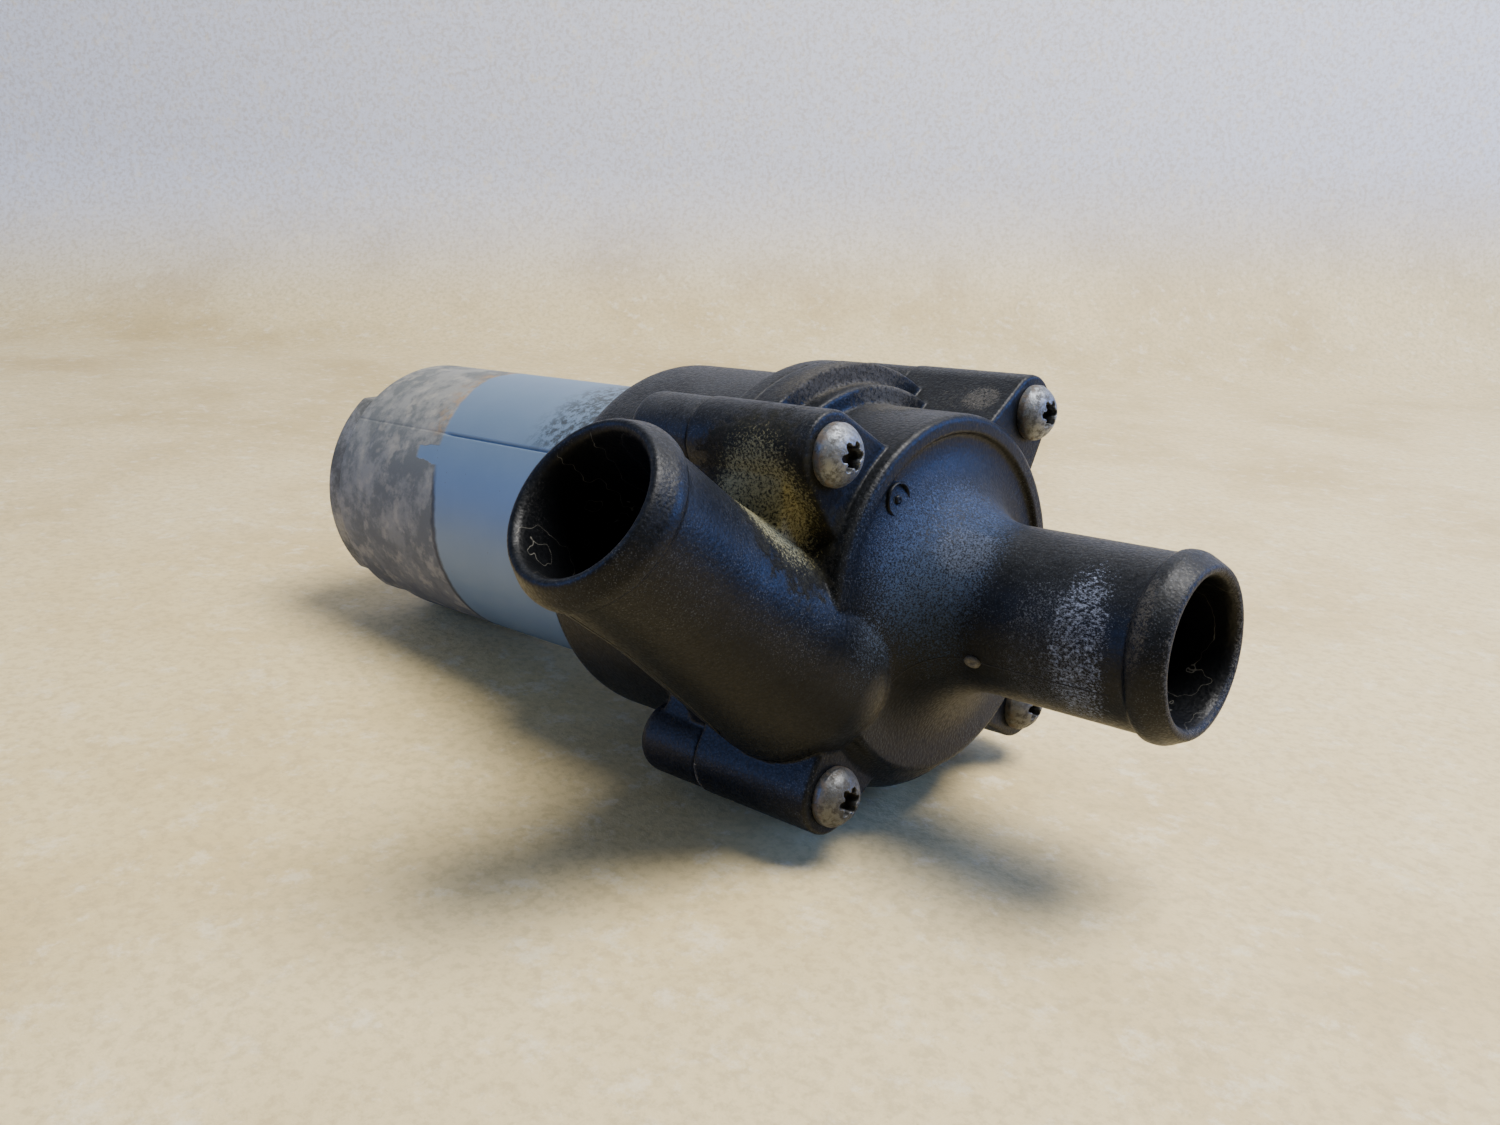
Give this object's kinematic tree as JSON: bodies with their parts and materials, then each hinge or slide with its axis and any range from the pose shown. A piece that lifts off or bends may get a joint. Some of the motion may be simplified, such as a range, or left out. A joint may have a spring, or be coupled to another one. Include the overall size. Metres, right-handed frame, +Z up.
{
  "type": "circulating pump",
  "caption": "Electric circulating pump with a bored axial inlet spigot, a slanted side outlet spigot, a magnet-coupled impeller and a round brushed motor.",
  "frame": {"origin": "on the shaft axis, in the plane of the cover screw seats", "axes": "+X runs along the shaft and out of the inlet, +Z is up with the pump lying on its side, and the outlet points to -Y and up"},
  "size_m": [0.1446, 0.0889, 0.054],
  "materials": {
    "cover_polyamide": "fine-grained black glass-filled polyamide, dusty on top",
    "housing_polyamide": "black glass-filled polyamide",
    "screw_steel": "dull zinc-plated steel, weathered",
    "seal_rubber": "black EPDM",
    "can_polymer": "glass-filled PPS",
    "ground_steel": "ground stainless steel",
    "ceramic": "white alumina ceramic",
    "spring_steel": "spring steel",
    "impeller_polymer": "dark brown PPS",
    "ferrite": "sintered ferrite",
    "carbon": "carbon graphite",
    "tinned_brass": "tin-plated brass strip",
    "plated_steel": "zinc-plated steel",
    "tube_paint": "pale blue-grey passivated steel tube, clean band and soiled ends",
    "cap_steel": "soiled grey steel cap",
    "sintered_bronze": "sintered bronze",
    "lamination_steel": "varnished electrical steel",
    "copper_wire": "enamelled copper wire",
    "copper_bar": "hard-drawn copper",
    "phenolic": "brown phenolic moulding",
    "capacitor_film": "ochre epoxy-dipped film capacitor"
  },
  "bodies": {
    "stator": {"volute_cover": "cover_polyamide", "cover_screws": "screw_steel", "cover_seal": "seal_rubber", "separating_can": "can_polymer", "impeller_pin": "ground_steel", "thrust_washers": "ceramic", "pin_retainer": "spring_steel", "pump_housing": "housing_polyamide", "terminals": "tinned_brass", "motor_gasket": "seal_rubber", "pole_tube": "tube_paint", "rear_cap": "cap_steel", "motor_bolts": "plated_steel", "front_bearing": "sintered_bronze", "rear_bearing": "sintered_bronze", "bearing_clips": "spring_steel", "field_magnets": "ferrite", "magnet_clips": "spring_steel", "brush_card": "phenolic", "brush_holders": "tinned_brass", "brush_spring_near": "spring_steel", "brush_spring_far": "spring_steel", "suppression_chokes": "copper_wire", "suppression_capacitor": "capacitor_film"},
    "rotor": {"motor_shaft": "ground_steel", "armature_core": "lamination_steel", "armature_windings": "copper_wire", "commutator_hub": "phenolic", "commutator_bars": "copper_bar", "float_washers": "ceramic", "magnet_carrier": "plated_steel", "drive_magnet": "ferrite"},
    "impeller_wheel": {"impeller": "impeller_polymer", "driven_magnet": "ferrite", "impeller_bush": "carbon"},
    "brush_near": {"brush_near": "carbon"},
    "brush_far": {"brush_far": "carbon"}
  },
  "joints": [
    {"name": "rotor_spin", "type": "hinge", "parent": "stator", "child": "rotor", "pos_m": [-0.07, 0, 0], "axis": [1, 0, 0], "continuous": true},
    {"name": "impeller_spin", "type": "hinge", "parent": "stator", "child": "impeller_wheel", "pos_m": [-0.02, 0, 0], "axis": [1, 0, 0], "continuous": true},
    {"name": "brush_near_slide", "type": "slide", "parent": "stator", "child": "brush_near", "axis": [0, -1, 0], "range_m": [0, 0.0015], "stiffness_N_per_m": 150, "springref_m": -0.004, "deforming": ["brush_spring_near"]},
    {"name": "brush_far_slide", "type": "slide", "parent": "stator", "child": "brush_far", "axis": [0, 1, 0], "range_m": [0, 0.0015], "stiffness_N_per_m": 150, "springref_m": -0.004, "deforming": ["brush_spring_far"]}
  ],
  "couplings": [
    {"joint": "impeller_spin", "follows": "rotor_spin", "ratio": 1}
  ]
}
